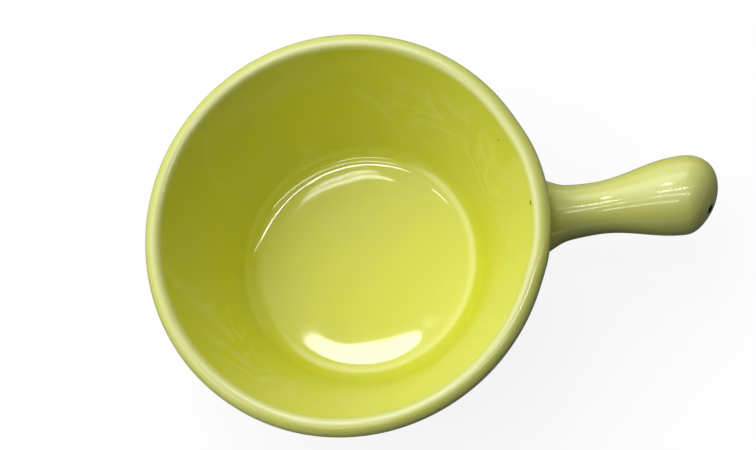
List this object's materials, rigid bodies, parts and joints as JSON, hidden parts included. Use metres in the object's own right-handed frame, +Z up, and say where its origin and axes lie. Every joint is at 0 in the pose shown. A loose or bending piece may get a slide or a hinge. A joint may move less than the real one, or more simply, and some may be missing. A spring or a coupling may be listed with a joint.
{
  "type": "handled ramekin",
  "caption": "Round glazed ceramic baking dish with a rounded lip, a bare foot ring and a club-shaped side handle, for baking and serving one portion.",
  "frame": {"origin": "on the bowl's axis, in the plane of the foot ring's bare face", "axes": "+X from the bowl's axis towards the handle, +Z up along the bowl's axis"},
  "size_m": [0.1785, 0.127, 0.052],
  "materials": {
    "clay": "bare fired buff clay, fine-grained and matt",
    "slip": "fired slip, matt",
    "glaze": "high-gloss yellow-green glaze, thinner and paler on the lip"
  },
  "bodies": {
    "root": {"bowl_body": "clay", "handle_body": "clay", "luting_slip": "slip", "joint_fillet": "clay", "bowl_glaze": "glaze", "handle_glaze": "glaze", "base_glaze": "glaze"}
  },
  "joints": []
}
